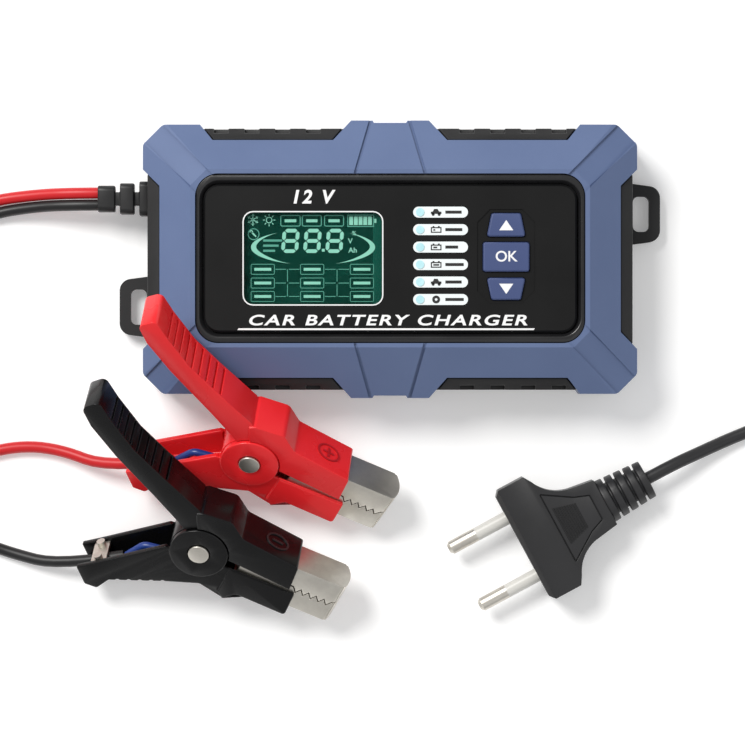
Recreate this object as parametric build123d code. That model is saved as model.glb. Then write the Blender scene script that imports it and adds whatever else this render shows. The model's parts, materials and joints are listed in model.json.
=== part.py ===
# Car battery charger with two clamp leads and a detachable mains lead.
# Millimetres. The origin is on the surface it stands on, under the middle of the housing.
# +X runs to the right of the control panel, +Y to its top edge, and +Z out of its face.
from build123d import *
import math
import os

os.makedirs("parts", exist_ok=True)

# ---- Driving dimensions -------------------------------------------------------------------
body_len, body_wid = 138.4, 74.5      # black housing
body_corner = 5.0                     # 45 degree corner cut of the housing
wall = 2.2
floor_z = 1.6                         # underside of the housing, on its feet
split_z = 14.5                        # where base and top meet
edge_z, rim_z = 20.0, 31.5            # outer and inner height of the sloping frame
frame_len, frame_wid = body_len + 3.2, body_wid + 4.7      # bumper frame over its blocks
rim_len, rim_wid = frame_len - 28.6, frame_wid - 28.8      # flat rim round the panel opening
opening_len, opening_wid = rim_len - 2.6, rim_wid - 2.4
opening_r = 6.5
corner_r = 2.2                        # rounding of the frame's corner blocks
frame_wall = 3.0                      # frame thickness, measured upwards
fit = 0.15                            # gap between fixed mouldings

panel_len, panel_wid, panel_t = opening_len - 4.8, opening_wid - 6.2, 2.4
window_x, window_len, window_wid, window_r = -21.85, 39.7, 26.6, 2.9
lamp_x, lamp_len, lamp_wid, lamp_pitch, lamp_top_y = 14.25, 15.7, 3.3, 4.94, 13.05
lamp_count = 6
key_x, key_travel, key_gap = 32.8, 0.7, 0.2

glass_half = window_len / 2 + 0.95    # the display glass runs under the panel
glass_wid = window_wid + 1.8

ear_reach, ear_half, ear_t, ear_y = 8.8, 9.0, 3.5, 13.4
ear_round, slot_out = 3.4, 3.3        # slot_out is from the wall to the slot's middle
slot_len, slot_wid, slot_r = 10.2, 4.7, 1.7

lead_d = 3.3                          # each clamp wire
mains_d = 3.6
gland_y, gland_z, gland_len = 17.6, 9.5, 14.7
inlet_y, inlet_z = -15.0, floor_z + wall + 5.2

board_t = 1.6
main_board_z, main_board_len, main_board_wid = 5.8, body_len - 34.4, body_wid - 16.5
display_board_z, display_board_len, display_board_wid = 20.5, panel_len - 3.6, panel_wid - 3.8

# Clamps: u runs to the jaw tip, v to the upper half, n along the pivot.
handle_wid, cover_wid, jaw_wid = 12.0, 13.0, 10.4
hub_r, ear_r, ear_in, ear_out = 8.5, 8.4, 5.0, 6.9
rivet_r, running = 1.9, 0.05
upper_angle, lower_angle = 150.0, 220.0
clamp_heading = math.degrees(math.atan2(-0.39, 0.92))


# ---- Helpers ------------------------------------------------------------------------------
def save(part, node):
    solids = part.solids()
    shape = solids[0] if len(solids) == 1 else Compound(children=list(solids))
    export_step(shape, f"parts/{node}.step")


def box(x0, x1, y0, y1, z0, z1):
    block = Box(x1 - x0, y1 - y0, z1 - z0)
    return Pos((x0 + x1) / 2, (y0 + y1) / 2, (z0 + z1) / 2) * block


def post(x, y, z0, z1, r):
    return Pos(x, y, (z0 + z1) / 2) * Cylinder(r, z1 - z0)


def cut_corner_rect(length, width, cut):
    a, b = length / 2, width / 2
    corners = [(a, b - cut), (a - cut, b), (cut - a, b), (-a, b - cut),
               (-a, cut - b), (cut - a, -b), (a - cut, -b), (a, cut - b)]
    return Polygon(*corners, align=None)


def round_at(shape, places, r):
    """Round the corners of a flat shape that lie at the given places."""
    corners = [v for v in shape.vertices() if any(math.dist((v.X, v.Y), p) < 0.01 for p in places)]
    return fillet(corners, r)


def slab(sketch, z0, z1):
    return Pos(0, 0, z0) * extrude(sketch, z1 - z0, dir=(0, 0, 1))


def four(x, y):
    return [(sx * x, sy * y) for sx in (-1, 1) for sy in (-1, 1)]


def mirror_all(points):
    """A closed outline symmetric about both axes, from its upper right quarter."""
    right = points + [(x, -y) for x, y in reversed(points)]
    return right + [(-x, y) for x, y in reversed(right)]


def slope(drop):
    """Everything under the sloping outer faces, lowered by drop."""
    base = cut_corner_rect(frame_len, frame_wid, 6.2)
    rim = cut_corner_rect(rim_len, rim_wid, 4.5)
    skirt = slab(base, -1, edge_z - drop)
    roof = loft([Pos(0, 0, edge_z - drop) * base, Pos(0, 0, rim_z - drop) * rim])
    return skirt + roof


def tube(points, d, name):
    """A round cord along straight runs and arcs; each arc is as large as its runs allow."""
    pts = [Vector(*p) for p in points]
    radii = []
    for i in range(1, len(pts) - 1):
        a, b = pts[i] - pts[i - 1], pts[i + 1] - pts[i]
        turn = math.radians(a.get_angle(b))
        radii.append(0.45 * min(a.length, b.length) / math.tan(turn / 2))
    path = FilletPolyline(*pts, radius=radii)
    path = path if isinstance(path, Wire) else Wire(path.edges())
    print(f"{name}: length {path.length:.1f}, least radius {min(radii):.1f} = {min(radii) / d:.1f} d")
    section = Plane(origin=path @ 0, z_dir=path % 0) * Circle(d / 2)
    return sweep(section, path=path)


# ---- Housing ------------------------------------------------------------------------------
half_len, half_wid = frame_len / 2, frame_wid / 2
inner_y = half_wid - 5.8                      # where the housing's vented strips begin


def frame_outline():
    corner_x, corner_y = half_len - 0.3, half_wid - 1.2
    quarter = [(4.6, half_wid - 0.7), (5.0, half_wid), (11.1, half_wid), (16.2, inner_y),
               (half_len - 20.3, inner_y), (half_len - 16.6, corner_y), (half_len - 5.9, corner_y),
               (corner_x, half_wid - 6.8), (corner_x, half_wid - 14.0), (half_len - 5.2, half_wid - 18.8)]
    blocks = mirror_all([quarter[6], quarter[7]])
    return round_at(Polygon(*mirror_all(quarter), align=None), blocks, corner_r)


def band_outline():
    """The strips of housing that show between the frame's blocks."""
    wall_x, wall_y = body_len / 2 + 0.8, body_wid / 2 + 0.75
    quarter = [(13.0 + fit, wall_y), (16.3 + fit, inner_y + fit), (half_len - 20.5 - fit, inner_y + fit),
               (half_len - 17.1 - fit, wall_y)]
    end_x, end_y = half_len - 5.2 + fit, half_wid - 19.0
    sides = [(wall_x, end_y + 4.3), (end_x, end_y), (end_x, -end_y), (wall_x, -end_y - 4.3)]
    strips = [Polygon(*[(sx * x, sy * y) for x, y in quarter], align=None)
              for sx in (-1, 1) for sy in (-1, 1)]
    strips += [Polygon(*[(sx * x, y) for x, y in sides], align=None) for sx in (-1, 1)]
    return strips


def housing_outline(inset=0.0):
    return cut_corner_rect(body_len - 2 * inset, body_wid - 2 * inset, body_corner)


vent_first, vent_count = 21.9, 4
vent_pitch = (half_len - 22.65 - vent_first) / (vent_count - 1)
vent_x = [vent_first + vent_pitch * i for i in range(vent_count)]
boss_places = four(body_len / 2 - 9.7, body_wid / 2 - 9.25)
foot_places = four(body_len / 2 - 25.2, body_wid / 2 - 9.25)
board_posts = four(main_board_len / 2 - 4.0, main_board_wid / 2 - 4.0)
panel_posts = four(display_board_len / 2 - 3.5, display_board_wid / 2 - 3.0)
deck_z = rim_z - frame_wall                     # 28.5
deck_under = deck_z - wall


def make_base_shell():
    shell = slab(housing_outline(), floor_z, split_z)
    shell -= slab(housing_outline(wall), floor_z + wall, split_z + 1)
    for x, y in boss_places:
        shell += post(x, y, floor_z + wall, split_z, 3.8)
    for x, y in board_posts:
        shell += post(x, y, floor_z + wall, main_board_z, 3.0)
    for side in (-1, 1):
        x_in, x_out = body_len / 2 - 1, body_len / 2 + ear_reach
        tips = [(x_out, 1.3 - ear_half), (x_out, ear_half - 1.3)]
        lug = round_at(Polygon((x_in, -ear_half), *tips, (x_in, ear_half), align=None), tips, ear_round)
        lug -= Pos(body_len / 2 + slot_out, 0) * RectangleRounded(slot_wid, slot_len, slot_r)
        lug = Pos(0, ear_y, 0) * lug
        if side < 0:
            lug = Rot(0, 0, 180) * lug
        shell += slab(lug, floor_z, floor_z + ear_t)
    for x, y in boss_places:
        shell -= post(x, y, floor_z - 1, split_z + 1, 1.6)
        shell -= post(x, y, floor_z - 1, floor_z + 2.4, 3.1)
    for x, y in board_posts:
        shell -= post(x, y, floor_z + 1.2, main_board_z + 1, 1.25)
    shell -= Pos(-body_len / 2, gland_y, gland_z) * Rot(0, 90, 0) * Cylinder(3.5, 12)
    shell -= box(body_len / 2 - wall - 1, body_len / 2 + 1, inlet_y - 9.0, inlet_y + 9.0, inlet_z - 5.0, inlet_z + 5.0)
    return shell


def make_top_shell():
    top = slab(housing_outline(), split_z, rim_z) & slope(frame_wall)
    for strip in band_outline():
        top += slab(strip, split_z, rim_z) & slope(0.9) & slab(housing_outline(), split_z, rim_z)
    inner = slab(housing_outline(wall), split_z - 1, rim_z) & slope(frame_wall + wall)
    top -= inner & box(-90, 90, -60, 60, split_z - 1, deck_under)
    for x, y in boss_places:
        top += post(x, y, split_z, 20.6, 3.8)
    for x, y in panel_posts:
        top += post(x, y, display_board_z + board_t, deck_z - 0.5, 2.7)
    for x, y in boss_places:
        top -= post(x, y, split_z - 1, 19.4, 1.5)
    for x, y in panel_posts:
        top -= post(x, y, display_board_z, deck_under, 1.05)
    # openings in the deck under the window, the lamps and the keys
    half_y = glass_wid / 2 + 0.6
    top -= box(window_x - glass_half - 0.5, window_x + glass_half + 0.5, -half_y, half_y, deck_under - 1, rim_z)
    half_y = panel_wid / 2 - 5.7
    top -= box(lamp_x - lamp_len / 2 - 1.9, key_x + 10.0, -half_y, half_y, deck_under - 1, rim_z)
    for x in vent_x:
        for sx in (-1, 1):
            for sy in (-1, 1):
                y_out = body_wid / 2
                top -= Pos(sx * x, sy * y_out, 21) * Box(4.1, 2.6, 9)
                top -= Pos(sx * x, sy * y_out, 18.2) * Box(4.1, 8, 2.4)
    return top


def make_bumper_frame():
    whole = slab(frame_outline(), 6.0, rim_z)
    frame = whole & slope(0)
    low = whole & slope(0.8)
    # the corner strips and the middle blocks sit a step below the faces, between fine grooves
    strips = []
    for sx in (-1, 1):
        for sy in (-1, 1):
            turn = math.degrees(math.atan2(sy, sx))
            mid = Pos(sx * (half_len - 10.6), sy * (half_wid - 10.9), 22) * Rot(0, 0, turn)
            strips.append(mid * Box(34, 7.0, 30))
            for lean in (-1, 1):
                a, b = (lean * 9.9, sy * (half_wid - 15.6)), (lean * 5.3, sy * (half_wid + 0.9))
                strips.append(groove(a, b))
    for strip in strips:
        frame = (frame - strip) + (low & strip)
    frame -= slab(housing_outline(-fit), -1, rim_z) & slope(frame_wall)
    frame -= slab(RectangleRounded(opening_len, opening_wid, opening_r), 20, rim_z + 1)
    return frame


def groove(a, b, width=0.9):
    length = math.dist(a, b)
    turn = math.degrees(math.atan2(b[1] - a[1], b[0] - a[0]))
    mid = Pos((a[0] + b[0]) / 2, (a[1] + b[1]) / 2, 22)
    return mid * Rot(0, 0, turn) * Box(length, width, 30)


def make_panel_bezel():
    outer = RectangleRounded(opening_len - 2 * fit, opening_wid - 2 * fit, opening_r - fit)
    inner = RectangleRounded(panel_len + 2 * fit, panel_wid + 2 * fit, 4.6)
    ring = slab(outer - inner, deck_z, deck_z + 1.9)
    top_edges = ring.edges().group_by(Axis.Z)[-1]
    inside = [e for e in top_edges if max(abs(e.center().X) / panel_len, abs(e.center().Y) / panel_wid) < 0.51]
    return chamfer(inside, 1.2)


def key_outline(name, grow=0.0):
    shapes = {
        "up_key": [(-4.15, 12.8), (4.15, 12.8), (5.5, 6.1), (-5.5, 6.1)],
        "enter_key": [(-6.6, 4.6), (6.6, 4.6), (6.6, -3.8), (-6.6, -3.8)],
        "down_key": [(-5.5, -5.5), (5.5, -5.5), (4.15, -11.8), (-4.15, -11.8)],
    }
    shape = Pos(key_x, 0) * Polygon(*shapes[name], align=None)
    shape = fillet(shape.vertices(), 0.7)
    return offset(shape, grow) if grow else shape


key_names = ["up_key", "enter_key", "down_key"]
panel_top = deck_z + panel_t                    # 30.9


def lamp_places():
    return [(lamp_x, lamp_top_y - lamp_pitch * i) for i in range(lamp_count)]


def make_control_panel():
    plate = slab(RectangleRounded(panel_len, panel_wid, 4.5), deck_z, panel_top)
    plate = chamfer(plate.edges().group_by(Axis.Z)[-1], 0.5)
    window = Pos(window_x, 0) * RectangleRounded(window_len, window_wid, window_r)
    plate -= slab(window, deck_z - 1, panel_top + 1)
    for x, y in lamp_places():
        pill = Pos(x, y) * SlotOverall(lamp_len, lamp_wid)
        plate -= slab(pill, deck_z - 1, panel_top + 1)
    well = [(-8.2, 10.2), (-4.6, 13.9), (4.6, 13.9), (8.2, 10.2), (8.2, -9.2), (4.6, -12.9),
            (-4.6, -12.9), (-8.2, -9.2)]
    plate -= slab(Pos(key_x, 0) * Polygon(*well, align=None), panel_top - 0.4, panel_top + 1)
    for name in key_names:
        plate -= slab(key_outline(name, key_gap), deck_z - 1, panel_top + 1)
    return plate


def make_key(name):
    cap = slab(key_outline(name), deck_z - 0.3, panel_top + 0.7)
    cap = chamfer(cap.edges().group_by(Axis.Z)[-1], 0.35)
    flange = slab(key_outline(name, 0.7), deck_z - 1.3, deck_z - 0.3)
    return cap + flange


# ---- Inside -------------------------------------------------------------------------------
def make_display():
    board_top = display_board_z + board_t
    light_half, light_wid = glass_half - 0.4, glass_wid - 0.8
    backlight = box(window_x - light_half, window_x + light_half, -light_wid / 2, light_wid / 2,
                    board_top, 25.6)
    glass = box(window_x - glass_half, window_x + glass_half, -glass_wid / 2, glass_wid / 2, 25.6, 28.3)
    pane = slab(Pos(window_x, 0) * RectangleRounded(window_len - 0.2, window_wid - 0.2, window_r - 0.1),
                28.3, panel_top - 0.05)
    return backlight, glass, pane


def make_lenses():
    lenses = None
    for x, y in lamp_places():
        pill = Pos(x, y) * SlotOverall(lamp_len - 0.2, lamp_wid - 0.2)
        lens = slab(pill, deck_z - 0.8, panel_top + 0.12)
        lenses = lens if lenses is None else lenses + lens
    return lenses


def make_lamps():
    top = display_board_z + board_t
    return Compound(children=[box(x - 7, x - 3.8, y - 1.4, y + 1.4, top, top + 1.1)
                              for x, y in lamp_places()])


def make_switches():
    top = display_board_z + board_t
    plunger_top = deck_z - 1.3 - key_travel - 0.1
    made = []
    for y in (9.4, 0.4, -8.6):
        case = box(key_x - 3, key_x + 3, y - 3, y + 3, top, top + 3.3)
        made.append(case + post(key_x, y, top + 3.3, plunger_top, 1.7))
    return Compound(children=made)


def board(length, width, z, holes, hole_r):
    plate = box(-length / 2, length / 2, -width / 2, width / 2, z, z + board_t)
    for x, y in holes:
        plate -= post(x, y, z - 1, z + board_t + 1, hole_r)
    return plate


def screws(places, head_z, head_h, tip_z, head_r, shank_r):
    """Screws whose heads start at head_z; the shank runs from the head's far side to tip_z."""
    made = []
    for x, y in places:
        up = tip_z > head_z
        z_head = head_z + head_h if up else head_z - head_h
        head = post(x, y, min(head_z, z_head), max(head_z, z_head), head_r)
        shank = post(x, y, min(z_head, tip_z), max(z_head, tip_z), shank_r)
        slot = Box(2 * head_r * 0.7, 0.6, 0.9)
        cross = Pos(x, y, head_z) * (slot + Rot(0, 0, 90) * slot)
        made.append((head + shank) - cross)
    return Compound(children=made)


def make_main_board_parts():
    top = main_board_z + board_t
    core = box(-16, 14, -12, 12, top + 2.4, top + 9.6) - box(-10, 8, -20, 20, top + 4.2, top + 7.8)
    winding = box(-9.5, 7.5, -14, 14, top, top + 12.4) - box(-9.5, 7.5, -12, 12, top + 2.4, top + 4.2)
    winding -= box(-9.5, 7.5, -12, 12, top + 7.8, top + 9.6)
    winding -= box(-16, -10, -12, 12, top, top + 20) + box(8, 14, -12, 12, top, top + 20)
    parts = {"transformer_core": core, "transformer_winding": winding}
    lying = Rot(0, 90, 0) * Cylinder(5.0, 20)
    parts["mains_capacitor"] = Pos(36, -20, top + 5.0) * lying
    parts["output_capacitors"] = Compound(
        children=[post(-42 + 9.5 * i, 20, top, top + 11.5, 4.2) for i in range(3)])
    fins = box(-44, -22, -24, -22.4, top, top + 12)
    for i in range(5):
        fins += box(-43 + 4.6 * i, -41.6 + 4.6 * i, -22.4, -17.5, top, top + 12)
    parts["heat_sink"] = fins
    parts["power_transistors"] = Compound(
        children=[box(-42 + 11 * i, -33 + 11 * i, -28.0, -24.0, top, top + 10) for i in range(2)])
    fuse = Pos(36, 2, top + 3.2) * Rot(0, 90, 0) * Cylinder(2.6, 18)
    clips = box(27.6, 29.6, -1.4, 5.4, top, top + 1.2) + box(42.4, 44.4, -1.4, 5.4, top, top + 1.2)
    clips = (clips + box(27.6, 29.6, -0.6, 4.6, top + 1, top + 3)) + box(42.4, 44.4, -0.6, 4.6, top + 1, top + 3)
    parts["fuse"] = Compound(children=[fuse] + list((clips - fuse).solids()))
    parts["choke"] = post(28, 18, top, top + 8, 7.0) - post(28, 18, top - 1, top + 9, 2.6)
    parts["ribbon_cable"] = box(-5, 5, 16.0, 16.6, top, display_board_z)
    return parts


def make_inlet():
    face = body_len / 2
    shell = box(face - 17, face, inlet_y - 8.9, inlet_y + 8.9, inlet_z - 4.9, inlet_z + 4.9)
    nose = Plane(origin=(face + 2, inlet_y, inlet_z), x_dir=(0, 1, 0), z_dir=(1, 0, 0)) * SlotOverall(14.2, 8.2)
    shell -= extrude(nose, -15)
    pins = []
    for dy in (-4.3, 4.3):
        pins.append(Pos(face - 10.5, inlet_y + dy, inlet_z) * Rot(0, 90, 0) * Cylinder(1.15, 13))
    for pin in pins:
        shell -= pin
    return shell, Compound(children=pins)


def make_gland():
    """A slotted strain relief: three ribs on a flat web, with a flange inside the wall."""
    wall_out = -body_len / 2
    wall_in = wall_out + wall
    ribs = [(wall_out - 2.7, wall_out - 0.1, 4.95), (wall_out - 8.3, wall_out - 4.3, 4.45),
            (wall_out - gland_len, wall_out - 9.8, 3.8)]
    web = box(wall_out - gland_len, wall_out, gland_y - 1.9, gland_y + 1.9, gland_z - 2.6, gland_z + 2.6)
    neck = Pos((wall_out - 0.1 + wall_in) / 2, gland_y, gland_z) * Rot(0, 90, 0)
    body = web + neck * Cylinder(3.4, wall + 0.2)
    body += box(wall_in, wall_in + 1.6, gland_y - 5, gland_y + 5, gland_z - 4.4, gland_z + 4.4)
    for x0, x1, half in ribs:
        rib = box(x0, x1, gland_y - half, gland_y + half, gland_z - half * 0.86, gland_z + half * 0.86)
        body += fillet(rib.edges().filter_by(Axis.X), 1.6)
    return body


# ---- Clamps -------------------------------------------------------------------------------
def polar(angle, s, t, side):
    """A point s along a handle and t across it, measured towards side (+1 or -1)."""
    a = math.radians(angle)
    return (s * math.cos(a) - side * t * math.sin(a), s * math.sin(a) + side * t * math.cos(a))


def up(s, t):
    return polar(upper_angle, s, t, -1)


def low(s, t):
    return polar(lower_angle, s, t, -1)


def both_ways(sketch, width):
    return extrude(sketch, width / 2, both=True)


def disc_pair(r, n0, n1):
    return post(0, 0, n0, n1, r) + post(0, 0, -n1, -n0, r)


jaw_front, jaw_back, tooth, jaw_gap = 39.5, 12.5, 2.4, 0.45


def tooth_line(side):
    """The zigzag edge of a jaw from front to back; both jaws follow one line, a hair apart."""
    count = 5
    pts = []
    for i in range(2 * count + 1):
        pts.append((jaw_front + 1.6 - i * tooth / 2, 0.85 * (-1) ** i + side * jaw_gap / 2))
    return [(46.0, pts[0][1])] + pts + [(jaw_back, pts[-1][1])]


def make_jaw(side):
    outer_v = 7.6 if side > 0 else -6.4
    outline = Polygon(*tooth_line(side), (jaw_back, outer_v), (46.0, outer_v), align=None)
    block = both_ways(outline, jaw_wid)
    nose = Pos(jaw_front - 5.2, 0) * Rot(90, 0, 0) * Cylinder(9.2, 30)
    plan = Pos(20, 0, 0) * Box(2 * (jaw_front - 20) + 2, 30, 30) & block
    block = plan + (block & nose & Pos(50, 0, 0) * Box(2 * (50 - jaw_front), 30, 30))
    inner_v = outer_v - side * 1.3
    hollow = box(0, jaw_front - 1.6, min(0 - side * 3, inner_v), max(0 - side * 3, inner_v),
                 -jaw_wid / 2 + 1.3, jaw_wid / 2 - 1.3)
    for face in (-1, 1):                      # the fold line between side plate and nose
        block -= Pos(jaw_front + 2.3, 0, face * jaw_wid / 2) * Box(0.45, 30, 0.7)
    return block - hollow


handle_edge = [(12.0, 9.4), (27.0, 7.6), (38.7, 6.6), (50.0, 7.4), (57.4, 8.5)]
grip_first, grip_pitch, grip_count = 25.5, 3.1, 9


def edge_at(s):
    """How far the upper handle's outer face is from its line, s along it."""
    for (s0, t0), (s1, t1) in zip(handle_edge, handle_edge[1:]):
        if s <= s1:
            return t0 + (t1 - t0) * (s - s0) / (s1 - s0)


def make_upper_shell():
    handle = [up(s, t) for s, t in handle_edge]
    handle += [up(58.4, 3.0), up(52, 1.4), up(40, 0.9), up(22, 1.5), up(11.5, 1.6)]
    outline = Polygon(*handle, (-3, 3), (-3, 11), align=None)
    outline = round_at(outline, [handle[4], handle[5]], 1.8)
    handle_part = both_ways(outline, handle_wid)
    head = [(-6.0, 12.8), (-4.4, 14.0), (4.1, 15.0), (9.2, 10.9), (27.3, 8.9), (28.2, 0.35),
            (9.0, 1.6), (0, 0)]
    head_shape = round_at(Polygon(*head, align=None), head[2:4], 2.4)
    head_part = both_ways(round_at(head_shape, head[4:5], 0.9), cover_wid)
    shell = handle_part + head_part
    shell -= disc_pair(ear_r + 0.3, ear_in - 0.1, 12)
    hub = both_ways(Circle(hub_r), 2 * ear_in - 0.2)
    shell += hub
    grip_pocket = Polygon(up(10, 6.6), up(38, 4.9), up(54, 5.6), up(56, 3.6), up(56, -4), up(10, -4), align=None)
    shell -= both_ways(grip_pocket, handle_wid - 3.2) & box(-80, -7.6, -10, 60, -10, 10)
    cover_pocket = Polygon((jaw_back, -4), (60, -4), (60, 7.6), (jaw_back, 7.6), align=None)
    shell -= both_ways(cover_pocket, jaw_wid)
    shell -= both_ways(Circle(4.6), 6.8)
    shell -= both_ways(Polygon((0, 0), (-14, -2), (-14, -12), (14, -12), (10, 0), align=None), 6.8)
    for i in range(grip_count):
        s = grip_first + grip_pitch * i
        x, y = up(s, edge_at(s))
        shell -= Pos(x, y, 0) * Rot(0, 0, upper_angle) * Box(0.8, 1.5, handle_wid - 1.4)
    shell -= post(0, 0, -12, 12, rivet_r + running)
    return shell


def make_lower_shell():
    outline = [(30.2, -1.0), (30.7, -9.2), (15.3, -8.9), (12.4, -12.4), (4.6, -10.8), low(13, -8.6),
               low(22, -6.6), low(29, -5.0), low(33.4, -7.2), low(36.4, -5.0), low(36.8, 1.4),
               low(31, 1.8), low(9.0, 3.8), (9.0, -1.4)]
    shape = round_at(Polygon(*outline, align=None), [outline[1], outline[8], outline[9]], 1.0)
    lower = both_ways(round_at(shape, outline[2:4], 1.5), handle_wid)
    cover = Polygon((30.2, -1.0), (30.7, -9.2), (15.3, -8.9), (12.4, -12.0), (10.2, -10.5),
                    (10.2, -1.4), align=None)
    cover = round_at(cover, [outline[1]], 1.0)
    lower += both_ways(round_at(cover, [outline[2]], 1.5), cover_wid)
    lower += disc_pair(ear_r, ear_in, ear_out)
    lower -= both_ways(Circle(hub_r + 0.4), 2 * ear_in)
    channel = Polygon(low(6, 9), low(6, -4.8), low(24, -3.6), low(40, -3.3), low(40, 9), align=None)
    lower -= both_ways(channel, handle_wid - 3.2)
    cover_pocket = Polygon((jaw_back - 4, 4), (60, 4), (60, -6.4), (jaw_back - 4, -6.4), align=None)
    lower -= both_ways(cover_pocket, jaw_wid)
    lower -= disc_pair(3.2, ear_out - 0.4, 12)
    lower -= post(0, 0, -12, 12, rivet_r + running)
    for i in range(5):
        x, y = low(13.8 + 3.2 * i, -8.9 + 0.72 * i)
        lower -= Pos(x, y, 0) * Rot(0, 0, lower_angle) * Cylinder(0.8, 20)
    return lower


def make_rivet():
    shank = post(0, 0, -ear_out + 0.4, ear_out - 0.4, rivet_r)
    return shank + disc_pair(3.0, ear_out - 0.4, ear_out + 0.5)


def make_spring():
    turns = None
    for i in range(5):
        ring = Pos(0, 0, -2.6 + 1.3 * i) * (Cylinder(3.5, 1.24) - Cylinder(2.3, 3))
        turns = ring if turns is None else turns + ring
    core = Cylinder(2.9, 5.6) - Cylinder(2.3, 8)
    x, y = low(6.0, -2.8)
    leg = Pos(x, y, 0) * Rot(0, 0, lower_angle) * Box(7.0, 1.1, 1.1)
    return (turns + core + leg) - Cylinder(2.3, 8)


wire_seat = -1.6                              # height of the wire's centre in the handle channel
wire_end, wire_mouth = 24.0, 44.0             # where the wire ends and enters, along the lower handle
strap_s, strap_screw_n = 30.5, handle_wid / 2 - 2.9


def make_strap():
    x, y = low(strap_s, wire_seat + lead_d / 2 + 0.55)
    bar = Pos(x, y, 0) * Rot(0, 0, lower_angle) * Box(4.6, 1.0, handle_wid - 3.2)
    for n in (-strap_screw_n, strap_screw_n):
        hole = Pos(x, y, n) * Rot(0, 0, lower_angle) * Rot(90, 0, 0) * Cylinder(0.9, 4)
        bar -= hole
    return bar


def make_strap_screws():
    made = []
    x, y = low(strap_s, wire_seat + lead_d / 2 + 1.05)
    for n in (-strap_screw_n, strap_screw_n):
        seat = Pos(x, y, n) * Rot(0, 0, lower_angle) * Rot(90, 0, 0)
        head = seat * Pos(0, 0, 0.7) * Cylinder(1.25, 1.4)
        shank = seat * Pos(0, 0, -1.2) * Cylinder(0.85, 2.4)
        made.append(head + shank)
    return made


def make_link_wire():
    """The short sleeved wire from the end of the cable to the lower jaw."""
    start, mid, end = low(wire_end - 0.8, wire_seat), low(17.0, 1.4), low(11.5, -1.2)
    path = FilletPolyline((*start, 0), (*mid, 0.4), (*end, 0.9), radius=[3.0])
    path = path if isinstance(path, Wire) else Wire(path.edges())
    return sweep(Plane(origin=path @ 0, z_dir=path % 0) * Circle(1.1), path=path)


def clamp_plane(pivot, tilt):
    """The clamp's own plane: tilt gives how fast its face rises along X and along Y."""
    gx, gy = tilt
    size = math.sqrt(1 + gx * gx + gy * gy)
    normal = (-gx / size, -gy / size, 1 / size)
    h = math.radians(clamp_heading)
    ux, uy = math.cos(h), math.sin(h)
    return Plane(origin=pivot, x_dir=(ux, uy, gx * ux + gy * uy), z_dir=normal)


red_plane = clamp_plane((-39.4, -half_wid - 14.2, 18.4), (0.14, 0.95))
black_plane = clamp_plane((-53.8, -half_wid - 40.3, 17.3), (0.14, 0.76))


def in_clamp(plane, point, n=0.0):
    p = plane.from_local_coords(Vector(point[0], point[1], n))
    return (p.X, p.Y, p.Z)


# ---- Mains plug and connector -------------------------------------------------------------
plug_front = (38.1, -82.4)
plug_heading = 28.4
plug_half, plug_t, pin_gap, pin_r, pin_len = 17.6, 13.7, 18.6, 2.0, 19.0
relief_start, relief_end = 27.0, 41.0
plug_frame = Pos(plug_front[0], plug_front[1], plug_t / 2) * Rot(0, 0, plug_heading)


def make_plug():
    with BuildSketch() as plan:
        with BuildLine():
            Polyline((0.0, 0), (0.0, plug_half - 1.6))
            l1 = Line((0.0, plug_half - 1.6), (1.4, plug_half))
            l2 = Line(l1 @ 1, (9.6, plug_half))
            l3 = Line(l2 @ 1, (11.2, plug_half - 2.6))
            l4 = ThreePointArc(l3 @ 1, (14.6, 10.6), (20.2, 8.2))
            l5 = Line(l4 @ 1, (relief_start, 7.2))
            Line(l5 @ 1, (relief_start, 0))
            Line((relief_start, 0), (0.0, 0))
        make_face()
        mirror(about=Plane.XZ)
    body = extrude(plan.sketch, plug_t / 2, both=True)
    side = Polygon((-1, -plug_t / 2), (10.5, -plug_t / 2), (19, -5.6), (28, -5.6), (28, 5.6), (19, 5.6),
                   (10.5, plug_t / 2), (-1, plug_t / 2), align=None)
    body &= extrude(Plane.XZ * side, 20, both=True)
    pad = Polygon((11.6, 10.6), (19.6, 5.4), (23.8, 3.8), (23.8, -3.8), (19.6, -5.4), (11.6, -10.6), align=None)
    line = slab(offset(pad, 0.3) - pad, -20, 20)
    low_side = Polygon((-1, -6.35), (10.5, -6.35), (19, -5.1), (28, -5.1), (28, 5.1), (19, 5.1),
                       (10.5, 6.35), (-1, 6.35), align=None)
    body = (body - line) + (body & line & extrude(Plane.XZ * low_side, 20, both=True))
    body = chamfer(body.faces().sort_by(Axis.X)[0].edges().filter_by(Axis.Y), 1.4)
    pins, sleeves = [], []
    for dy in (-pin_gap / 2, pin_gap / 2):
        core = Pos(-3.5, dy, 0) * Rot(0, 90, 0) * Cylinder(1.5, 13)
        tip = Pos(-14.5, dy, 0) * Rot(0, 90, 0) * Cylinder(pin_r, 9)
        tip = chamfer(tip.faces().sort_by(Axis.X)[0].edges(), 0.9)
        pins.append(core + tip)
        sleeves.append(Pos(-5.0, dy, 0) * Rot(0, 90, 0) * (Cylinder(pin_r, 10) - Cylinder(1.5, 12)))
        body -= Pos(-1, dy, 0) * Rot(0, 90, 0) * Cylinder(1.5, 8)
    ribs = [(relief_start, 0)]
    rib_count, slot = 5, 0.8
    pitch = (relief_end - relief_start + slot) / rib_count
    for i in range(rib_count):
        x, r = relief_start + pitch * i, 5.5 - 0.17 * i
        ribs += [(x, r), (x + pitch - slot, r - 0.1)]
        if i < rib_count - 1:
            ribs += [(x + pitch - slot, r - 1.5), (x + pitch, r - 1.5)]
    ribs.append((relief_end, 0))
    relief = revolve(Polygon(*ribs, align=None), Axis.X)
    return {"plug_body": plug_frame * body, "plug_pins": plug_frame * Compound(children=pins),
            "pin_sleeves": plug_frame * Compound(children=sleeves), "plug_relief": plug_frame * relief}


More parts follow.
